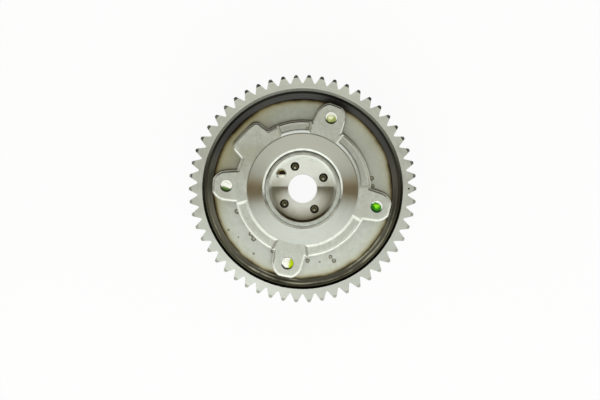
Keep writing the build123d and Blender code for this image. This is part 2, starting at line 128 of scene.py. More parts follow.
# The table, the share of its own white that hides the object's shadow, and the softboxes' power
floor_radius, floor_drop, floor_white = 3.0, 0.05 * MM, 0.93
watts_per_area = 4.0


def at(radius, angle, height=0.0):
    """Point at a radius and an angle in degrees about the axis."""
    turn = math.radians(angle)
    return Vector((radius * math.cos(turn), radius * math.sin(turn), height))


def srgb(red, green, blue):
    """Scene colour of a display colour given from 0 to 255."""
    fraction = [channel / 255 for channel in (red, green, blue)]
    linear = [c / 12.92 if c <= 0.04045 else ((c + 0.055) / 1.055) ** 2.4 for c in fraction]
    return (*linear, 1.0)


# Dark brown of painted shade on edges, feet and grooves, mostly towards +Y
painted_shade_brown = srgb(44, 40, 32)
# Brown of dried drops, also used for painted shade at a pocket's end
drop_and_shade_brown = srgb(92, 84, 52)
# White of cured thread-locker residue, also used as its painted highlight
residue_and_highlight_white = srgb(250, 252, 246)


class Shader:
    """Node tree of one material or world, with a short call for each kind of node that it uses."""

    def __init__(self, owner):
        owner.use_nodes = True
        self.tree = owner.node_tree
        self.tree.nodes.clear()

    def add(self, kind, inputs=None, **settings):
        node = self.tree.nodes.new("ShaderNode" + kind)
        for key, value in settings.items():
            setattr(node, key, value)
        for key, value in (inputs or {}).items():
            self.feed(node.inputs[key], value)
        return node

    def feed(self, socket, value):
        if isinstance(value, bpy.types.NodeSocket):
            self.tree.links.new(value, socket)
        else:
            socket.default_value = value

    def math(self, operation, a, b=0.0):
        return self.add("Math", {0: a, 1: b}, operation=operation).outputs[0]

    def times(self, first, *factors):
        """Product of all the values."""
        for factor in factors:
            first = self.math("MULTIPLY", first, factor)
        return first

    def vector(self, operation, a, b=(0, 0, 0)):
        return self.add("VectorMath", {0: a, 1: b}, operation=operation)

    def between(self, a, b):
        """Vector from b to a."""
        return self.vector("SUBTRACT", a, b).outputs[0]

    def flatten(self, place):
        """The place at height 0."""
        return self.vector("MULTIPLY", place, (1, 1, 0)).outputs[0]

    def length(self, vector):
        return self.vector("LENGTH", vector).outputs["Value"]

    def distance(self, a, b):
        return self.vector("DISTANCE", a, b).outputs["Value"]

    def dot(self, a, b):
        return self.vector("DOT_PRODUCT", a, b).outputs["Value"]

    def part(self, vector, axis):
        """The X, Y or Z of a vector."""
        return self.add("SeparateXYZ", {0: vector}).outputs[axis]

    def made_of(self, x=0.0, y=0.0, z=0.0):
        """Vector of three parts."""
        return self.add("CombineXYZ", {0: x, 1: y, 2: z}).outputs[0]

    def step(self, value, low, high, start=0.0, stop=1.0):
        """Smooth change from start to stop as the value goes from low to high."""
        inputs = {"Value": value, "From Min": low, "From Max": high, "To Min": start, "To Max": stop}
        return self.add("MapRange", inputs, interpolation_type="SMOOTHSTEP").outputs["Result"]

    def band(self, value, low, high, soft):
        """Strength 1 between low and high, fading out over the soft width on both sides."""
        rising = self.step(value, low - soft, low + soft)
        return self.times(rising, self.step(value, high - soft, high + soft, 1.0, 0.0))

    def noise(self, place, size, detail=3.0, roughness=0.5):
        """Noise from 0 to 1 with features of about the given size."""
        inputs = {"Vector": place, "Scale": 1 / size, "Detail": detail, "Roughness": roughness}
        return self.add("TexNoise", inputs).outputs["Fac"]

    def blend(self, share, a, b, mode="MIX"):
        """Colour that goes from a to b."""
        node = self.add("Mix", data_type="RGBA", blend_type=mode)
        for index, value in ((0, share), (6, a), (7, b)):
            self.feed(node.inputs[index], value)
        return node.outputs[2]

    def ramp(self, value, stops):
        """Colour that passes through the stops, each a value and a colour."""
        node = self.add("ValToRGB", {0: value})
        marks = node.color_ramp.elements
        while len(marks) < len(stops):
            marks.new(0.5)
        for mark, (position, colour) in zip(marks, stops):
            mark.position = position
            mark.color = colour
        return node.outputs["Color"]


def start_material(name):
    """New material and the shader that fills it."""
    material = bpy.data.materials.new(name)
    return material, Shader(material)


def own_place(shader):
    """The object's own coordinates."""
    return shader.add("TexCoord").outputs["Object"]


def coordinates(shader):
    """The object's own coordinates, the radius about the axis, and Y."""
    place = own_place(shader)
    return place, shader.length(shader.flatten(place)), shader.part(place, "Y")


def drawn_noise(shader, place, stretch, size, detail=3.0, roughness=0.6):
    """Noise for marks that are drawn out around the axis, stretch times as long as they are wide."""
    turn = shader.math("ARCTAN2", shader.part(place, "Y"), shader.part(place, "X"))
    radius = shader.length(shader.flatten(place))
    arc = shader.times(turn, mean_radius / stretch)
    return shader.noise(shader.made_of(radius, shader.part(place, "Z"), arc), size, detail, roughness)


def finish_surface(
    shader, colour, roughness, height, depth, metallic=1.0, brushed=0.0, gloss=0.5, lean=None
):
    """Principled surface with a bump. Brushing runs round the axis, and lean is added to the normal."""
    bump_inputs = {"Strength": 1.0, "Distance": depth, "Height": height}
    if lean is not None:
        normal = shader.add("NewGeometry").outputs["Normal"]
        leaning = shader.vector("ADD", normal, lean).outputs[0]
        bump_inputs["Normal"] = shader.vector("NORMALIZE", leaning).outputs[0]
    bump = shader.add("Bump", bump_inputs).outputs[0]
    inputs = {"Base Color": colour, "Roughness": roughness, "Normal": bump, "Metallic": metallic}
    if brushed:
        tangent = shader.add("Tangent", direction_type="RADIAL", axis="Z").outputs[0]
        inputs.update({"Anisotropic": brushed, "Anisotropic Rotation": 0.25, "Tangent": tangent})
    if metallic < 0.5:
        inputs["Specular IOR Level"] = gloss
    surface = shader.add("BsdfPrincipled", inputs).outputs[0]
    shader.add("OutputMaterial", {0: surface})


def tab_distance(shader, place, angle, end, half_width, corner):
    """Distance to the outline of a tab with round corners that points outwards, negative inside it."""
    along = shader.dot(place, at(1.0, angle))
    sideways = shader.dot(place, at(1.0, angle + 90))
    past_end = shader.math("SUBTRACT", along, end - corner)
    slant = shader.times(shader.math("MINIMUM", past_end, 0.0), flank_slant)
    past_side = shader.math("ADD", shader.math("ABSOLUTE", sideways), slant)
    past_side = shader.math("MAXIMUM", shader.math("SUBTRACT", past_side, half_width - corner), 0.0)
    past = shader.made_of(shader.math("MAXIMUM", past_end, 0.0), past_side)
    distance = shader.math("SUBTRACT", shader.length(past), corner)
    return shader.math("MAXIMUM", distance, shader.times(along, -1.0))


def cover_distance(shader, place, ring):
    """Distance to the outline of the rear cover: its ears, its boss and a ring of the given radius."""
    tabs = tab_distance(shader, place, boss_angle, boss_end, boss_half_width, boss_corner)
    end = screw_circle + ear_half_width
    for angle in ear_angles:
        ear = tab_distance(shader, place, angle, end, ear_half_width, ear_half_width)
        tabs = shader.math("MINIMUM", tabs, ear)
    radius = shader.length(shader.flatten(place))
    tabs = shader.math("MAXIMUM", tabs, shader.math("SUBTRACT", radius, ear_reach))
    return shader.math("MINIMUM", tabs, shader.math("SUBTRACT", radius, ring))


def outline_sides(shader, place, ring):
    """Distance to the cover's outline, and how squarely the outline faces +Y there, from -1 to 1."""
    reach = 0.8 * MM
    moved = shader.between(place, (0, reach, 0))
    distance = cover_distance(shader, place, ring)
    change = shader.math("SUBTRACT", distance, cover_distance(shader, moved, ring))
    return distance, shader.math("DIVIDE", change, reach)


def spots(shader, place, marks, wobble_size):
    """Strength of small round marks with dark rims, each a radius, an angle and a width in mm."""
    total = None
    wobble = shader.noise(place, wobble_size, 3.0)
    for radius, angle, width in marks:
        offset = shader.between(place, at(radius * MM, angle))
        distance = shader.length(shader.flatten(offset))
        share = shader.math("DIVIDE", distance, shader.times(wobble, width * MM))
        inner = shader.step(share, 0.2, 0.8, 0.4, 1.0)
        drop = shader.times(inner, shader.step(share, 0.95, 1.35, 1.0, 0.0))
        total = drop if total is None else shader.math("MAXIMUM", total, drop)
    return total


def sintered_colour(shader, place, dark, light, grime=None):
    """Colour and grain of pressed and sintered steel: fine pores, soft mottle, faint oily patches."""
    mottle = shader.noise(place, 1.3 * MM, 4.0, 0.6)
    grain = shader.noise(place, 0.3 * MM, 3.0, 0.7)
    colour = shader.blend(shader.step(mottle, 0.25, 0.75), dark, light)
    pores = shader.step(grain, 0.3, 0.42, 0.4, 0.0)
    colour = shader.blend(pores, colour, tuple(c * 0.5 for c in dark[:3]) + (1.0,))
    if grime:
        patches = shader.noise(place, 9 * MM, 3.0, 0.5)
        colour = shader.blend(shader.step(patches, 0.45, 0.75, 0.0, 0.4), colour, grime)
    return colour, mottle, grain


def sintered_steel(name, dark, light, rough=0.42, grime=None):
    """Plain pressed and sintered steel."""
    made, shader = start_material(name)
    place = own_place(shader)
    colour, mottle, grain = sintered_colour(shader, place, dark, light, grime)
    roughness = shader.step(mottle, 0.25, 0.75, rough - 0.03, rough + 0.04)
    finish_surface(shader, colour, roughness, grain, 0.01 * MM)
    return made


def cover_faces(name, dark, light, grime):
    """Sintered faces of the rear cover: soft shoulders, painted shade and highlights, oil near the boss."""
    made, shader = start_material(name)
    place, radius, across = coordinates(shader)
    colour, mottle, grain = sintered_colour(shader, place, dark, light, grime)
    cloudy = shader.noise(place, 6 * MM, 3.0, 0.5)
    distance = shader.distance(place, at(30 * MM, 146, ear_top))
    spread = shader.math("ADD", distance, shader.step(cloudy, 0.3, 0.7, -3 * MM, 3 * MM))
    oil_and_shade = shader.step(spread, 3 * MM, 12 * MM, 0.36, 0.0)
    colour = shader.blend(oil_and_shade, colour, srgb(164, 160, 132))
    raised = shader.step(shader.part(place, "Z"), pocket_top + 0.2 * MM, pocket_top + 0.6 * MM)
    sunken = shader.math("SUBTRACT", 1.0, raised)
    # Painted shade on the sunken pocket floors towards +Y
    shaded = shader.times(sunken, shader.step(across, -4 * MM, 8 * MM, 0.0, 0.2))
    colour = shader.blend(shaded, colour, srgb(70, 66, 46))
    from_edge, facing = outline_sides(shader, place, cover_edge)
    uphill = shader.times(raised, shader.math("MAXIMUM", facing, 0.0))
    downhill = shader.times(raised, shader.math("MAXIMUM", shader.times(facing, -1.0), 0.0))
    # Painted shade on the shoulders that face +Y, just inside the outline
    shoulder_shade = shader.band(from_edge, -1.15 * MM, -0.6 * MM, 0.15 * MM)
    colour = shader.blend(shader.times(shoulder_shade, uphill, 0.8), colour, painted_shade_brown)
    # Painted shade along the foot of the pockets' inner slopes in the +Y half
    upper = shader.step(shader.math("DIVIDE", across, radius), 0.0, 0.5)
    foot = pocket_floor_radius
    inner_line = shader.band(radius, foot - 0.2 * MM, foot + 0.4 * MM, 0.15 * MM)
    colour = shader.blend(shader.times(inner_line, upper, sunken, 0.6), colour, painted_shade_brown)
    # Painted highlight on the pocket floors just inside their outer edge
    outer_highlight = shader.band(radius, cover_edge - 1.2 * MM, cover_edge - 0.6 * MM, 0.2 * MM)
    colour = shader.blend(shader.times(outer_highlight, sunken, 0.35), colour, srgb(236, 239, 233))
    # Two marks of painted shade at the end of the first pocket
    stains_and_shade_marks = [(28.9, 85.3, 2.0), (29.4, 83.6, 1.8)]
    smear_and_shade = shader.times(spots(shader, place, stains_and_shade_marks, 2 * MM), 0.6)
    colour = shader.blend(smear_and_shade, colour, drop_and_shade_brown)
    shoulder = shader.band(from_edge, -1.5 * MM, 0.5 * MM, 0.2 * MM)
    lean = shader.made_of(y=shader.times(shoulder, downhill, -0.09))
    roughness = shader.step(mottle, 0.25, 0.75, 0.39, 0.46)
    finish_surface(shader, colour, roughness, grain, 0.01 * MM, lean=lean)
    return made


def cover_ledge(name):
    """Ledge round the cover's ring: a near-white painted highlight, with painted shade towards +Y."""
    made, shader = start_material(name)
    place = own_place(shader)
    across = shader.part(place, "Y")
    mottle = shader.noise(place, 2 * MM, 3.0, 0.5)
    # The ledge's near-white tones are a painted highlight
    colour = shader.blend(shader.step(mottle, 0.3, 0.7), srgb(232, 235, 229), srgb(252, 253, 250))
    # Painted shade: the ledge darkens towards +Y
    colour = shader.blend(shader.step(across, 2 * MM, 34 * MM, 0.0, 0.62), colour, srgb(96, 92, 74))
    finish_surface(shader, colour, shader.step(mottle, 0.3, 0.7, 0.42, 0.48), mottle, 0.002 * MM)
    return made


def turned_colour(shader, place, rings, dark, light):
    """Colour of faced steel: fine rings about the axis, dulled in patches by handling."""
    handling = shader.noise(place, 7 * MM, 5.0, 0.6)
    colour = shader.blend(shader.step(rings, 0.2, 0.8), dark, light)
    return shader.blend(shader.step(handling, 0.55, 0.8, 0.0, 0.3), colour, dark), handling


def finish_turned(shader, place, colour, handling, rings, rough, brushed):
    """Surface of faced steel, rougher where it was handled."""
    fine = shader.noise(place, 0.5 * MM, 2.0)
    smooth = shader.step(handling, 0.3, 0.7, rough - 0.02, rough + 0.04)
    roughness = shader.math("ADD", smooth, shader.step(fine, 0.2, 0.8, -0.02, 0.02))
    finish_surface(shader, colour, roughness, rings, 0.003 * MM, brushed=brushed)


def turned_steel(name, dark, light, rough, brushed, lower_right_shade=None):
    """Faced or turned steel, with painted shade far out towards the lower right if that colour is given."""
    made, shader = start_material(name)
    place = own_place(shader)
    rings = drawn_noise(shader, place, 60, 0.16 * MM)
    colour, handling = turned_colour(shader, place, rings, dark, light)
    # Painted shade far out towards the lower right
    if lower_right_shade:
        outward = shader.dot(place, at(1.0, 295))
        colour = shader.blend(shader.step(outward, 30 * MM, 52 * MM, 0.0, 0.8), colour, lower_right_shade)
    finish_turned(shader, place, colour, handling, rings, rough, brushed)
    return made


def turned_disc(name, dark, light, upper_shade):
    """Rear cover's machined disc: painted shade and edge line towards +Y, painted brown reflection at sides.
    """
    made, shader = start_material(name)
    place, radius, across = coordinates(shader)
    rings = drawn_noise(shader, place, 60, 0.16 * MM)
    colour, handling = turned_colour(shader, place, rings, dark, light)
    # Painted shade towards +Y
    colour = shader.blend(shader.step(across, -14 * MM, 26 * MM), colour, upper_shade)
    # Painted brown reflection at both sides, near the X axis
    slant = shader.math("ABSOLUTE", shader.math("DIVIDE", across, radius))
    colour = shader.blend(shader.step(slant, 0.04, 0.36, 0.9, 0.0), colour, srgb(194, 182, 154))
    # Painted shade along the disc's edge in its +Y half
    edge_line = shader.step(radius, disc_radius - 0.5 * MM, disc_radius - 0.2 * MM)
    upper = shader.step(across, 0.0, 10 * MM, 0.0, 0.72)
    colour = shader.blend(shader.times(edge_line, upper), colour, painted_shade_brown)
    finish_turned(shader, place, colour, handling, rings, 0.36, 0.95)
    return made


def bright_slopes(name):
    """Slopes of the pockets, burnished and softly rounded, with painted light and shade in the disc's +Y
    half.
    """
    made, shader = start_material(name)
    place, radius, across = coordinates(shader)
    nicks = shader.noise(place, 1.6 * MM, 3.0, 0.5)
    normal = shader.add("NewGeometry").outputs["Normal"]
    outward = shader.math("DIVIDE", shader.dot(normal, shader.flatten(place)), radius)
    worn = shader.blend(shader.step(nicks, 0.3, 0.6), srgb(176, 179, 171), srgb(192, 195, 188))
    # Painted highlight on outward-facing slopes in the +Y half
    highlight_tone = shader.blend(shader.step(nicks, 0.3, 0.6), srgb(232, 240, 244), srgb(242, 249, 252))
    share = shader.step(across, 12 * MM, 27 * MM, 0.3, 1.0)
    upper = shader.step(across, -2 * MM, 4 * MM)
    side = shader.step(outward, 0.3, 0.6)
    colour = shader.blend(shader.times(share, upper, side), worn, highlight_tone)
    # Painted shade on the pockets' end walls in the +Y half
    ends = shader.times(shader.step(outward, 0.0, 0.3, 0.16, 0.0), upper)
    colour = shader.blend(ends, colour, srgb(96, 94, 78))
    height = shader.part(place, "Z")
    # Painted shade along the slopes' feet in the +Y half
    foot = shader.step(height, pocket_top + 0.1 * MM, pocket_top + 0.6 * MM, 0.55, 0.0)
    colour = shader.blend(shader.times(foot, upper), colour, painted_shade_brown)
    roughness = shader.step(nicks, 0.3, 0.7, 0.28, 0.34)
    finish_surface(shader, colour, roughness, nicks, 0.01 * MM, lean=(0, 0, 1.6))
    return made


def smooth_steel(name, dark, light, rough, eased, pulled=0.0, grimy=None):
    """Smooth turned steel. Its slopes are eased upwards and, at the sides, pulled towards -Y. Painted shade
    comes in from the first grimy radius to the second, if they are given, most of it towards +Y."""
    made, shader = start_material(name)
    place, radius, across = coordinates(shader)
    mottle = shader.noise(place, 2.4 * MM, 4.0, 0.55)
    colour = shader.blend(shader.step(mottle, 0.25, 0.75), dark, light)
    # Painted shade in the groove between bore and collar, mostly towards +Y
    if grimy:
        upper = shader.step(across, -6 * MM, 10 * MM, 0.36, 0.9)
        colour = shader.blend(shader.times(shader.step(radius, *grimy), upper), colour, painted_shade_brown)
    roughness = shader.step(mottle, 0.25, 0.75, rough - 0.02, rough + 0.03)
    normal = shader.add("NewGeometry").outputs["Normal"]
    sideways = shader.math("ABSOLUTE", shader.part(normal, "X"))
    lean = shader.made_of(y=shader.times(sideways, -pulled), z=eased)
    sloping = shader.step(shader.part(normal, "Z"), 0.75, 0.95, 1.0, 0.0)
    lean = shader.vector("MULTIPLY", lean, sloping).outputs[0]
    finish_surface(shader, colour, roughness, mottle, 0.002 * MM, lean=lean)
    return made


def rubbed_ring(shader, radius, wobble, middle, width):
    """Strength of a narrow ring of rubbed scale and painted highlight, wandering a little about its middle
    radius.
    """
    off = shader.math("ADD", shader.math("SUBTRACT", radius, middle), wobble)
    return shader.step(shader.math("ABSOLUTE", off), 0.15 * width, 0.6 * width, 1.0, 0.0)


def black_scale(name):
    """Black heat scale in the dish: painted light at the sides and towards -Y, olive rubbed streaks there.
    """
    made, shader = start_material(name)
    place, radius, across = coordinates(shader)
    streaks = drawn_noise(shader, place, 60, 0.42 * MM, 2.0, 0.5)
    broad = drawn_noise(shader, place, 6, 3.0 * MM, 2.0, 0.5)
    fine = shader.noise(place, 0.35 * MM, 2.0, 0.6)
    worn = shader.step(across, -38 * MM, 6 * MM, 1.0, 0.0)
    wobble = shader.step(broad, 0.2, 0.8, -0.4 * MM, 0.4 * MM)
    upper = rubbed_ring(shader, radius, wobble, upper_rub, 0.9 * MM)
    lower = rubbed_ring(shader, radius, wobble, lower_rub, 0.8 * MM)
    lines = shader.math("MAXIMUM", upper, shader.times(lower, shader.step(broad, 0.4, 0.6)))
    breaks = shader.step(shader.noise(place, 7 * MM, 3.0, 0.6), 0.35, 0.62, 0.15, 1.0)
    lines = shader.times(lines, shader.step(streaks, 0.3, 0.6), breaks)
    colour = shader.blend(shader.step(streaks, 0.3, 0.6), srgb(25, 24, 22), srgb(41, 40, 36))
    # Lighter olive towards -Y, partly rubbed scale and partly painted light
    colour = shader.blend(shader.times(worn, 0.5), colour, srgb(104, 103, 84))
    # Painted light at the sides of the lower half, more at the left
    aside = shader.part(place, "X")
    side = shader.step(shader.math("ABSOLUTE", shader.math("DIVIDE", aside, radius)), 0.45, 0.95)
    lower_half = shader.step(across, 2 * MM, 22 * MM, 1.0, 0.0)
    lighter_left = shader.step(aside, -10 * MM, 10 * MM, 0.85, 0.45)
    colour = shader.blend(shader.times(side, lower_half, lighter_left), colour, srgb(104, 103, 88))
    # Painted light by the dish wall towards -Y
    wall = shader.times(shader.step(radius, dish_wall, dish_wall + 0.6 * MM, 0.0, 0.7), worn)
    colour = shader.blend(wall, colour, srgb(150, 148, 126))
    # Bright rings that are partly rubbed scale and partly painted highlight
    colour = shader.blend(shader.times(worn, lines), colour, srgb(214, 214, 194))
    dull = shader.step(streaks, 0.3, 0.7, 0.34, 0.44)
    roughness = shader.math("ADD", dull, shader.step(fine, 0.2, 0.8, -0.02, 0.02))
    finish_surface(shader, colour, roughness, streaks, 0.012 * MM, metallic=0.3)
    return made


def rim_bevel(name):
    """Bevel inside the rim: turned steel at the +Y side, dark towards -Y as painted shade."""
    made, shader = start_material(name)
    place = own_place(shader)
    across = shader.part(place, "Y")
    rings = drawn_noise(shader, place, 60, 0.2 * MM)
    # Painted shade: the bevel darkens towards -Y, where it faces +Y
    fraction = shader.step(across, -18 * MM, 40 * MM, 0.97, 0.0)
    colour = shader.blend(shader.step(rings, 0.2, 0.8), srgb(124, 126, 116), srgb(160, 162, 152))
    colour = shader.blend(fraction, colour, srgb(30, 29, 24))
    finish_surface(shader, colour, shader.step(rings, 0.2, 0.8, 0.26, 0.32), rings, 0.003 * MM)
    return made


def tooth_end(name):
    """Chamfered tooth ends: dark scale in patches, with painted light leaving less of it towards the -Y
    side.
    """
    made, shader = start_material(name)
    place = own_place(shader)
    across = shader.part(place, "Y")
    patches = shader.noise(place, 1.1 * MM, 4.0, 0.6)
    streaks = drawn_noise(shader, place, 8, 0.3 * MM, 2.0, 0.5)
    # Painted light: less dark scale shows towards -Y
    lit_side = shader.step(across, -40 * MM, 35 * MM, 0.34, -0.04)
    share = shader.math("ADD", patches, shader.math("ADD", lit_side, shader.times(streaks, 0.4)))
    share = shader.step(share, 0.55, 0.95)
    colour = shader.blend(share, srgb(58, 55, 47), srgb(176, 177, 166))
    finish_surface(shader, colour, shader.step(patches, 0.3, 0.7, 0.3, 0.45), patches, 0.02 * MM)
    return made


def tempered_web(name):
    """Web between cover and dish: pale steel, a straw to brown temper line at its edge, dried drops."""
    made, shader = start_material(name)
    place, radius, across = coordinates(shader)
    wander = shader.noise(place, 9 * MM, 2.0)
    mottle = shader.noise(place, 2.6 * MM, 4.0, 0.6)
    cloudy = shader.noise(place, 13 * MM, 3.0, 0.5)
    grain = shader.noise(place, 0.32 * MM, 3.0, 0.7)
    line = shader.math("ADD", radius, shader.step(wander, 0.2, 0.8, -0.45 * MM, 0.45 * MM))
    line = shader.math("ADD", line, shader.step(across, -30 * MM, 15 * MM, -0.45 * MM, -0.1 * MM))
    edge = {"Value": line, "From Min": tint_start, "From Max": tint_end}
    share = shader.add("MapRange", edge).outputs["Result"]
    pale = shader.blend(shader.step(mottle, 0.25, 0.75), srgb(198, 204, 198), srgb(210, 215, 210))
    olive = shader.blend(shader.step(mottle, 0.25, 0.75), srgb(170, 175, 167), srgb(184, 189, 181))
    # Painted shade: the olive tones towards +Y
    steel = shader.blend(shader.step(across, -16 * MM, 10 * MM), pale, olive)
    steel = shader.blend(shader.step(cloudy, 0.45, 0.75, 0.0, 0.25), steel, srgb(182, 182, 166))
    right = shader.dot(place, at(1.0, 22))
    steel = shader.blend(shader.step(right, 18 * MM, 38 * MM, 0.0, 0.5), steel, srgb(200, 204, 194))
    straw = shader.dot(place, at(1.0, 152))
    steel = shader.blend(shader.step(straw, 24 * MM, 40 * MM, 0.0, 0.6), steel, srgb(172, 168, 138))
    tint = [
        (0.0, srgb(255, 255, 255)),
        (0.5, srgb(253, 252, 247)),
        (0.66, srgb(242, 238, 222)),
        (0.75, srgb(214, 204, 178)),
        (0.82, srgb(156, 142, 112)),
        (0.88, srgb(92, 78, 56)),
        (0.93, srgb(52, 45, 36)),
        (1.0, srgb(48, 45, 42)),
    ]
    colour = shader.blend(1.0, steel, shader.ramp(share, tint), "MULTIPLY")
    stains_and_shade_marks = [
        (33.8, 8.8, 1.9), (34.1, 2.4, 1.3), (35.0, 274.0, 1.8), (35.7, 292.3, 1.9),
        (37.7, 293.6, 2.0), (33.5, 199.0, 2.0), (33.3, 221.5, 1.9), (33.8, 225.6, 2.1),
        (41.0, 209.0, 1.3), (38.9, 217.0, 0.9), (39.4, 233.0, 1.0), (33.6, 244.0, 1.9),
        (36.4, 283.0, 0.8),
    ]
    drops = shader.times(spots(shader, place, stains_and_shade_marks, 3 * MM), 0.85)
    colour = shader.blend(drops, colour, drop_and_shade_brown)
    # Painted shadow on the web beside the cover's +Y-facing outline
    beside, facing = outline_sides(shader, place, cover_ring)
    cover_shadow = shader.step(beside, 0.0, 1.2 * MM, 0.85, 0.0)
    cover_shadow = shader.times(cover_shadow, shader.step(facing, -0.2, 1.0))
    colour = shader.blend(cover_shadow, colour, srgb(50, 46, 34))
    roughness = shader.step(cloudy, 0.3, 0.7, 0.4, 0.48)
    finish_surface(shader, colour, roughness, grain, 0.01 * MM)
    return made


def lower_half_shade(shader, radius, across):
    """Strength of the painted shade and reflection in the -Y half of the camshaft recess, with a sharp edge.
    """
    below = shader.step(across, 0.9 * MM, 1.4 * MM, 1.0, 0.0)
    shade_below = shader.step(across, -5.0 * MM, 0.6 * MM, 0.05, 0.3)
    at_wall = shader.step(radius, 12.2 * MM, 14.8 * MM, 0.0, 0.2)
    return shader.times(below, shader.math("MAXIMUM", shade_below, at_wall))


def recess_floor(name):
    """Faced floor of the camshaft recess: painted shade, a beige band over it, a smear by the dowel hole."""
    made, shader = start_material(name)
    place, radius, across = coordinates(shader)
    rings = drawn_noise(shader, place, 60, 0.2 * MM)
    mottle = shader.noise(place, 3 * MM, 4.0, 0.6)
    colour = shader.blend(shader.step(rings, 0.2, 0.8), srgb(222, 225, 218), srgb(240, 242, 236))
    colour = shader.blend(shader.step(mottle, 0.5, 0.8, 0.0, 0.2), colour, srgb(212, 210, 194))
    stains_and_shade_marks = [(14.7, 144.0, 1.4), (14.2, 149.0, 1.2), (13.6, 154.0, 0.8)]
    smear_and_shade = spots(shader, place, stains_and_shade_marks, 1.8 * MM)
    colour = shader.blend(shader.times(smear_and_shade, 0.85), colour, srgb(70, 62, 38))
    # A beige band just above the painted shade
    beige_band = shader.step(across, 1.4 * MM, 7 * MM, 0.3, 0.0)
    beige_band = shader.times(beige_band, shader.step(radius, 8 * MM, 13 * MM))
    colour = shader.blend(beige_band, colour, srgb(150, 140, 96))
    # Painted shade and reflection over the -Y half, darkest by the wall
    colour = shader.blend(lower_half_shade(shader, radius, across), colour, srgb(122, 106, 44))
    roughness = shader.step(mottle, 0.3, 0.7, 0.42, 0.45)
    lean = shader.made_of(y=shader.step(across, 0.5 * MM, 1.5 * MM, 0.0, -0.07))
    finish_surface(shader, colour, roughness, rings, 0.002 * MM, brushed=1.0, lean=lean)
    return made


def pilot_wall(name):
    """Wall and lead of the camshaft recess: bright steel, brown with painted shade towards -Y."""
    made, shader = start_material(name)
    place = own_place(shader)
    across = shader.part(place, "Y")
    rings = drawn_noise(shader, place, 40, 0.25 * MM)
    # Painted shade on the wall towards -Y, where it faces +Y
    oil_and_shade = shader.step(across, -14 * MM, -6 * MM, 0.9, 0.0)
    colour = shader.blend(shader.step(rings, 0.2, 0.8), srgb(178, 181, 173), srgb(200, 203, 196))
    colour = shader.blend(oil_and_shade, colour, srgb(128, 116, 82))
    roughness = shader.step(rings, 0.2, 0.8, 0.26, 0.32)
    finish_surface(shader, colour, roughness, rings, 0.003 * MM)
    return made


def port_floor(name):
    """Drilled bottom of the oil ports: grey metal in a ring of painted shade, with a small painted highlight
    arc.
    """
    made, shader = start_material(name)
    place = own_place(shader)
    flat = shader.flatten(place)
    nearest = glint = None
    for angle in port_angles:
        centre = at(port_circle, angle)
        distance = shader.distance(flat, centre)
        lower = shader.distance(flat, centre + Vector((0.0, -0.5 * MM, 0.0)))
        nearest = distance if nearest is None else shader.math("MINIMUM", nearest, distance)
        glint = lower if glint is None else shader.math("MINIMUM", glint, lower)
    # Painted highlight: a small glint towards -Y
    glint = shader.step(glint, 0.3 * MM, 0.75 * MM, 1.0, 0.0)
    # Painted highlight: a lighter ring in the metal
    ringed = shader.band(nearest, 0.85 * MM, 1.35 * MM, 0.2 * MM)
    metal = shader.blend(ringed, srgb(150, 156, 146), srgb(200, 208, 198))
    metal = shader.blend(glint, metal, srgb(204, 212, 202))
    # Painted shade: the floor goes dark towards the port walls
    colour = shader.blend(shader.step(nearest, 1.3 * MM, 1.8 * MM), metal, srgb(24, 23, 19))
    mottle = shader.noise(place, 0.6 * MM, 3.0, 0.5)
    lean = shader.made_of(y=shader.times(glint, 0.1))
    roughness = shader.step(mottle, 0.3, 0.7, 0.1, 0.14)
    finish_surface(shader, colour, roughness, mottle, 0.002 * MM, lean=lean)
    return made


def dowel_hole_steel(name):
    """Camshaft dowel hole: dark with painted shade, painted light at its -Y side and along its edge."""
    made, shader = start_material(name)
    place = own_place(shader)
    centre = at(cam_dowel_circle, cam_dowel_angle)
    flat = shader.flatten(place)
    down = shader.part(shader.between(centre, flat), "Y")
    aside = shader.distance(flat, centre + Vector((0.35 * MM, 0.0, 0.0)))
    mottle = shader.noise(place, 0.9 * MM, 3.0, 0.5)
    bright = shader.step(down, 0.3 * MM, 0.7 * MM)
    rim = shader.step(aside, 1.35 * MM, 1.75 * MM)
    # Painted shade inside the hole, painted light along its edge and a painted highlight at its -Y side
    colour = shader.blend(shader.step(mottle, 0.3, 0.7), srgb(30, 28, 22), srgb(96, 94, 80))
    colour = shader.blend(rim, colour, srgb(180, 172, 138))
    colour = shader.blend(bright, colour, srgb(253, 254, 252))
    lean = shader.made_of(y=shader.times(shader.math("MAXIMUM", bright, rim), 0.2))
    roughness = shader.step(mottle, 0.3, 0.7, 0.16, 0.2)
    finish_surface(shader, colour, roughness, mottle, 0.002 * MM, lean=lean)
    return made


def burr_steel(name, centre, reach):
    """Raised edge of a hole: a painted highlight at its -Y side, clean steel elsewhere."""
    made, shader = start_material(name)
    place = own_place(shader)
    offset = shader.between(place, centre)
    down = shader.dot(offset, at(1 / reach, 275))
    nicks = shader.noise(place, 0.8 * MM, 3.0, 0.5)
    mixed = shader.math("ADD", down, shader.step(nicks, 0.2, 0.8, -0.15, 0.15))
    # Painted highlight towards -Y
    colour = shader.blend(shader.step(mixed, 0.1, 0.45), srgb(176, 174, 158), srgb(226, 228, 222))
    finish_surface(shader, colour, shader.step(nicks, 0.3, 0.7, 0.22, 0.3), nicks, 0.01 * MM)
    return made


def two_tone(name, dark, light, rough, metallic, size):
    """Small pieces: two tones in a fine mottle, with matching bumps."""
    made, shader = start_material(name)
    place = own_place(shader)
    mottle = shader.noise(place, size, 4.0, 0.6)
    colour = shader.blend(shader.step(mottle, 0.3, 0.7), dark, light)
    roughness = shader.step(mottle, 0.3, 0.7, rough - 0.05, rough + 0.08)
    finish_surface(shader, colour, roughness, mottle, 0.01 * MM, metallic=metallic)
    return made


def add_object(name, data):
    """New object in the scene with the given data."""
    made = bpy.data.objects.new(name, data)
    bpy.context.scene.collection.objects.link(made)
    return made


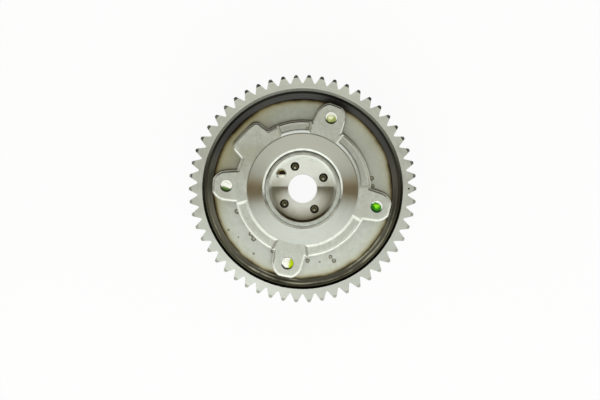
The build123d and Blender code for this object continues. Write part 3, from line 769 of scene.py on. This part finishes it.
def add_form(name, form, material):
    """New object of the given name and material with a finished form as its mesh."""
    mesh = bpy.data.meshes.new(name)
    form.to_mesh(mesh)
    form.free()
    mesh.materials.append(material)
    return add_object(name, mesh)


def place_camera():
    """Camera straight above the axis, shifted so that the axis lies where the photograph has it."""
    width_seen = image_width * tip_radius / outer_radius_px
    camera = add_object("camera", bpy.data.cameras.new("camera"))
    camera.location = (0, 0, rim_top + camera_distance)
    camera.data.sensor_width = sensor_width
    camera.data.lens = sensor_width * camera_distance / width_seen
    camera.data.shift_x = -axis_right_px / image_width
    camera.data.shift_y = -axis_up_px / image_width
    camera.data.clip_start = 0.05
    camera.data.clip_end = 10.0
    bpy.context.scene.camera = camera


def softbox(name, place, size, radiance, tint):
    """Rectangular lamp that the camera doesn't see, facing straight down."""
    lamp = bpy.data.lights.new(name, "AREA")
    lamp.shape = "RECTANGLE"
    lamp.size, lamp.size_y = size
    lamp.energy = watts_per_area * radiance * size[0] * size[1]
    lamp.color = tint
    stand = add_object(name, lamp)
    stand.location = place
    stand.visible_camera = False


def light_studio():
    """Two long softboxes with a dark gap between them, in a room that is bright towards -Y."""
    bpy.context.scene.view_settings.view_transform = "Standard"
    softbox("front_softbox", (0, -0.42, 0.34), (1.8, 0.74), 1.0, (0.98, 1.0, 0.99))
    softbox("back_softbox", (0, 0.27, 0.46), (1.8, 0.40), 0.64, (1.0, 0.99, 0.9))
    world = bpy.data.worlds.new("room")
    bpy.context.scene.world = world
    shader = Shader(world)
    across = shader.part(shader.add("TexCoord").outputs["Generated"], "Y")
    share = shader.times(shader.math("ADD", across, 1.0), 0.5)
    room = [
        (0.0, srgb(236, 238, 234)),
        (0.3, srgb(196, 194, 182)),
        (0.47, srgb(112, 102, 78)),
        (0.6, srgb(84, 76, 58)),
        (1.0, srgb(50, 46, 38)),
    ]
    background = shader.add("Background", {0: shader.ramp(share, room), 1: 1.0}).outputs[0]
    shader.add("OutputWorld", {0: background})


def lay_floor():
    """Pale table, white to the camera and in reflections, with a trace of the object's shadow."""
    material, shader = start_material("floor_white")
    form = bmesh.new()
    bmesh.ops.create_circle(form, cap_ends=True, segments=96, radius=floor_radius)
    floor = add_form("floor", form, material)
    floor.location.z = -floor_drop
    path = shader.add("LightPath")
    seen = shader.math("MAXIMUM", path.outputs["Is Camera Ray"], path.outputs["Is Glossy Ray"])
    seen = shader.math("MAXIMUM", seen, path.outputs["Is Transmission Ray"])
    plain = shader.add("BsdfDiffuse", {"Color": (0.8, 0.8, 0.8, 1.0)}).outputs[0]
    white = shader.add("Emission", {"Color": (1, 1, 1, 1), "Strength": 1.0}).outputs[0]
    seen = shader.times(seen, floor_white)
    surface = shader.add("MixShader", {0: seen, 1: plain, 2: white}).outputs[0]
    shader.add("OutputMaterial", {0: surface})


def dress(node, chosen, *materials):
    """Gives each face of a CAD node the material that chosen returns the number of."""
    mesh = nodes[node].data
    mesh.materials.clear()
    for material in materials:
        mesh.materials.append(material)
    for face in mesh.polygons:
        face.material_index = chosen(face.center, face.normal)


def coat(node, material):
    """Gives all faces of a CAD node one material."""
    dress(node, lambda centre, normal: 0, material)


def near(centre, radius, angle, reach):
    """Whether a face lies within reach of the upright line at this radius and angle."""
    return (centre.xy - at(radius, angle).xy).length < reach + slack


def slanted(rise):
    """Whether a face with this upward part in its normal is neither flat nor upright."""
    return wall_limit < rise < slope_limit


def sprocket_face(centre, normal):
    """0 ground rim, 1 tooth ends, 2 web, 3 black dish and timing mark, 4 rim bevel, 5 the rest."""
    radius = centre.xy.length
    if radius > tip_radius - tooth_chamfer_reach and slanted(abs(normal.z)):
        return 1
    in_mark = timing_mark_low < centre.z < timing_mark_high
    if in_mark and near(centre, timing_mark_place, 0, timing_mark_radius):
        return 3
    if radius > rim_wall_radius + bevel_width:
        return 0 if abs(normal.z) > level_limit else 5
    if centre.z > rim_top - bevel_width and slanted(normal.z):
        return 4
    if centre.z > web_top + slack:
        return 3
    return 2 if centre.z > web_top - slack and normal.z > level_limit else 5


def near_slope(centre):
    """Whether a sloping face belongs to a pocket's side and not to an edge break."""
    return centre.xy.length < pocket_reach or pocket_top < centre.z < ear_top - edge_break_height


def cover_face(centre, normal):
    """0 sintered faces, 1 turned disc, 2 slopes, 3 bore and its chamfer, 4 edges, 5 walls, 6 ledge."""
    if centre.z > ear_top + margin and normal.z > level_limit:
        return 1
    if centre.xy.length < cover_bore_edge:
        return 3
    if slanted(normal.z):
        return 2 if near_slope(centre) else 4
    if normal.z > slope_limit and centre.z < web_top + ledge_height:
        return 6
    return 5 if abs(normal.z) < wall_limit and centre.z > web_top else 0


def rotor_face(centre, normal):
    """0 sintered, 1 collar, 2 recess floor, 3 recess wall, 4 bolt bore and seat, 5 port walls,
    6 port floors, 7 dowel hole."""
    radius = centre.xy.length
    if normal.z < -level_limit and radius < bolt_seat_radius:
        return 4
    if centre.z > cam_face - margin:
        if radius < collar_inner:
            return 2 if centre.z < cam_face + margin else 3
        return 1 if radius < journal_radius + margin and centre.z > web_top else 0
    drilled = centre.z > cam_face - port_depth - 0.5 * MM
    if drilled and any(near(centre, port_circle, angle, port_radius) for angle in port_angles):
        return 6 if normal.z > level_limit else 5
    shallow = centre.z > cam_face - cam_dowel_depth - MM
    if shallow and near(centre, cam_dowel_circle, cam_dowel_angle, cam_dowel_radius):
        return 7
    return 4 if radius < bolt_bore_radius + slack else 0


def front_face(centre, normal):
    """0 sintered, 1 turned rest face and opening."""
    return 1 if centre.z < margin or centre.xy.length < front_opening else 0


def locker_material(number, centre, body, middle, shade, white_angle, white_share, bend):
    """Cured thread-locker: a painted highlight in the middle, painted shade under its -Y side, white towards
    white_angle.
    The white starts white_share of the radius past the centre. A larger bend makes its edge straighter."""
    material, shader = start_material(f"thread_locker_green_{number}")
    place = own_place(shader)
    offset = shader.between(place, centre)
    flat = shader.flatten(offset)
    patches = shader.noise(place, 1.1 * MM, 4.0, 0.6)
    uneven = shader.step(patches, 0.3, 0.7, -0.16, 0.16)
    # Painted highlight in the middle
    lit = shader.distance(flat, at(0.12 * screw_radius, 100))
    lit = shader.math("ADD", lit, shader.times(uneven, screw_radius))
    colour = shader.blend(shader.step(lit, 0.15 * screw_radius, 0.6 * screw_radius), middle, body)
    # White, partly cured residue and partly painted highlight
    white_side = shader.distance(flat, at(-bend * screw_radius, white_angle))
    white_side = shader.math("DIVIDE", white_side, screw_radius)
    white_side = shader.math("ADD", white_side, shader.times(uneven, 0.7))
    soft = 0.07 + 0.05 * bend
    white = shader.step(white_side, bend + white_share - soft, bend + white_share + soft)
    colour = shader.blend(white, colour, residue_and_highlight_white)
    # Painted shade under the -Y side
    low_side = shader.distance(flat, at(0.35 * screw_radius, 80))
    low_side = shader.math("DIVIDE", low_side, screw_radius)
    low_side = shader.math("ADD", low_side, shader.times(uneven, 0.5))
    colour = shader.blend(shader.step(low_side, 0.9, 1.16, 0.0, 0.97), colour, shade)
    finish_surface(shader, colour, 0.5, patches, 0.1 * MM, metallic=0.0, gloss=0.15)
    return material


def make_thread_locker(number, angle, material):
    """Uneven dome of thread-locker on a screw's tip."""
    width = screw_radius - bead_inset
    rise = rim_top - screw_top - bead_gap
    form = bmesh.new()
    bmesh.ops.create_uvsphere(form, u_segments=40, v_segments=20, radius=1.0)
    shift = Vector((number * 7.0, number * 3.0, 0))
    for vertex in form.verts:
        lump = noise.noise(vertex.co * 1.7 + shift)
        vertex.co.x *= width * (1 + bead_swell * lump)
        vertex.co.y *= width * (1 + bead_swell * lump)
        vertex.co.z = max(vertex.co.z, 0.0) * rise * (0.88 + 0.3 * lump)
        vertex.co += at(screw_circle, angle, screw_top)
    bead = add_form(f"thread_locker_{number}", form, material)
    bead.data.shade_smooth()
    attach(bead, "housing")


def make_ring(name, centre, section, segments, uneven, material, body):
    """Closed ring swept from a section of (radius, height) points round an upright line at centre."""
    form = bmesh.new()
    rings = []
    for step in range(segments):
        turn = 360 * step / segments
        swell = 1 + uneven * noise.noise(at(1.5, turn) + centre * 900)
        points = [centre + at(radius * swell, turn, height) for radius, height in section]
        rings.append([form.verts.new(point) for point in points])
    for step in range(segments):
        here, following = rings[step], rings[(step + 1) % segments]
        for side in range(len(section)):
            after = (side + 1) % len(section)
            form.faces.new((here[side], here[after], following[after], following[side]))
    bmesh.ops.recalc_face_normals(form, faces=form.faces)
    ring = add_form(name, form, material)
    ring.data.shade_smooth()
    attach(ring, body)


place_camera()
light_studio()
lay_floor()

ground = turned_steel(
    "rim_ground", srgb(204, 209, 203), srgb(226, 231, 226), 0.36, 0.2, srgb(186, 190, 184)
)
underside = sintered_steel(
    "sprocket_sintered", srgb(132, 130, 116), srgb(168, 166, 150), 0.42, srgb(92, 80, 58)
)
teeth, web = tooth_end("tooth_ends"), tempered_web("web_tempered")
dish, bevel = black_scale("dish_scale"), rim_bevel("rim_bevel")
dress("sprocket", sprocket_face, ground, teeth, web, dish, bevel, underside)

matt = cover_faces("cover_sintered", srgb(192, 197, 190), srgb(208, 213, 207), srgb(192, 193, 180))
disc = turned_disc("cover_turned", srgb(202, 207, 202), srgb(220, 225, 220), srgb(192, 194, 184))
# Radii of the painted shade in the groove at the bore's edge
grimy = (18.55 * MM, 18.3 * MM)
bore = smooth_steel("cover_bore", srgb(172, 175, 168), srgb(192, 195, 189), 0.24, 0.9, 0.26, grimy)
edge = smooth_steel("cover_edges", srgb(180, 184, 176), srgb(200, 203, 196), 0.2, 0.6)
# The cover's walls in dark tones as painted shade
wall = sintered_steel("cover_walls", srgb(96, 95, 82), srgb(140, 139, 124), 0.5, srgb(70, 62, 46))
slopes, ledge = bright_slopes("cover_slopes"), cover_ledge("cover_ledge")
dress("rear_cover", cover_face, matt, disc, slopes, bore, edge, wall, ledge)
front_matt = sintered_steel(
    "front_sintered", srgb(176, 180, 170), srgb(200, 204, 195), 0.44, srgb(140, 132, 106)
)
front_turned = turned_steel("front_turned", srgb(196, 200, 194), srgb(218, 222, 216), 0.36, 0.6)
dress("front_cover", front_face, front_matt, front_turned)

sintered_rotor = sintered_steel("rotor_sintered", srgb(150, 148, 132), srgb(192, 190, 172), 0.4)
# Radii of the painted shade in the groove at the collar's edge
grimy = (17.9 * MM, 18.1 * MM)
collar = smooth_steel("rotor_collar", srgb(200, 205, 199), srgb(218, 223, 217), 0.32, 0.12, 0.3, grimy)
bolt_bore = turned_steel("rotor_bore", srgb(206, 208, 198), srgb(234, 235, 228), 0.38, 0.3)
# Port walls in near-black tones as painted shade
port_wall = two_tone("port_wall", srgb(26, 25, 21), srgb(58, 56, 48), 0.35, 1.0, 0.8 * MM)
recess = (recess_floor("recess_floor"), pilot_wall("recess_wall"))
holes = (bolt_bore, port_wall, port_floor("port_floor"), dowel_hole_steel("dowel_hole"))
dress("rotor", rotor_face, sintered_rotor, collar, *recess, *holes)

stator_steel = sintered_steel(
    "stator_sintered", srgb(150, 150, 138), srgb(188, 188, 174), 0.45, srgb(140, 128, 98)
)
coat("stator", stator_steel)
zinc = two_tone("screw_zinc", srgb(150, 152, 142), srgb(206, 208, 198), 0.34, 1.0, 1.2 * MM)
coat("cover_screws", zinc)
hardened = two_tone("hardened_steel", srgb(150, 150, 148), srgb(196, 196, 192), 0.25, 1.0, 2 * MM)
spring = two_tone("spring_steel", srgb(92, 92, 92), srgb(150, 150, 146), 0.32, 1.0, 1 * MM)
plastic = two_tone("seal_plastic", srgb(26, 26, 27), srgb(52, 52, 52), 0.5, 0.0, 1 * MM)
for node in nodes:
    if node in ("locating_dowel", "lock_pin", "lock_pin_cap", "lock_pin_seat"):
        coat(node, hardened)
    elif "spring" in node:
        coat(node, spring)
    elif "seal" in node:
        coat(node, plastic)

# The lock pin's spring is shown by a copy of its mesh, attached to the rotor
coil = add_object("lock_pin_coil", nodes["lock_pin_spring"].data.copy())
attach(coil, "rotor")
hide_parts("lock_pin_spring")
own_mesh(coil)

# The burr round the dowel hole, swept from points of radius and height in mm
burr_section = [(2.02, 0.0), (2.06, 0.1), (2.2, 0.11), (2.45, 0.0)]
burr_section = [(radius * MM, cam_face + height * MM) for radius, height in burr_section]
burr_centre = at(cam_dowel_circle, cam_dowel_angle)
burr = burr_steel("dowel_burr", burr_centre, 2.6 * MM)
make_ring("dowel_hole_burr", burr_centre, burr_section, 48, 0.0, burr, "rotor")

# Thread-locker on each screw: its body, middle and shade, then angle, share and bend of its white
lockers = [
    (srgb(150, 162, 92), srgb(232, 236, 196), srgb(30, 36, 6), 84.0, 0.5, 0.25),
    (srgb(84, 112, 46), srgb(140, 158, 108), srgb(20, 40, 6), 74.0, -0.16, 3.0),
    (srgb(184, 206, 8), srgb(208, 216, 104), srgb(28, 36, 4), 166.0, -0.2, 4.0),
    (srgb(34, 124, 2), srgb(140, 230, 26), srgb(8, 40, 1), 48.0, 0.62, 0.24),
]
ring_section = [(2.2, 0.0), (2.35, 0.3), (2.6, 0.38), (2.85, 0.3), (2.98, 0.05), (2.6, 0.0)]
ring_section = [(radius * MM, screw_top + height * MM) for radius, height in ring_section]
for number, (angle, tones) in enumerate(zip(ear_angles, lockers), 1):
    centre = at(screw_circle, angle)
    cured = locker_material(number, centre, *tones)
    make_thread_locker(number, angle, cured)
    name = f"thread_ring_{number}"
    make_ring(name, centre, ring_section, 64, ring_swell, cured, "housing")
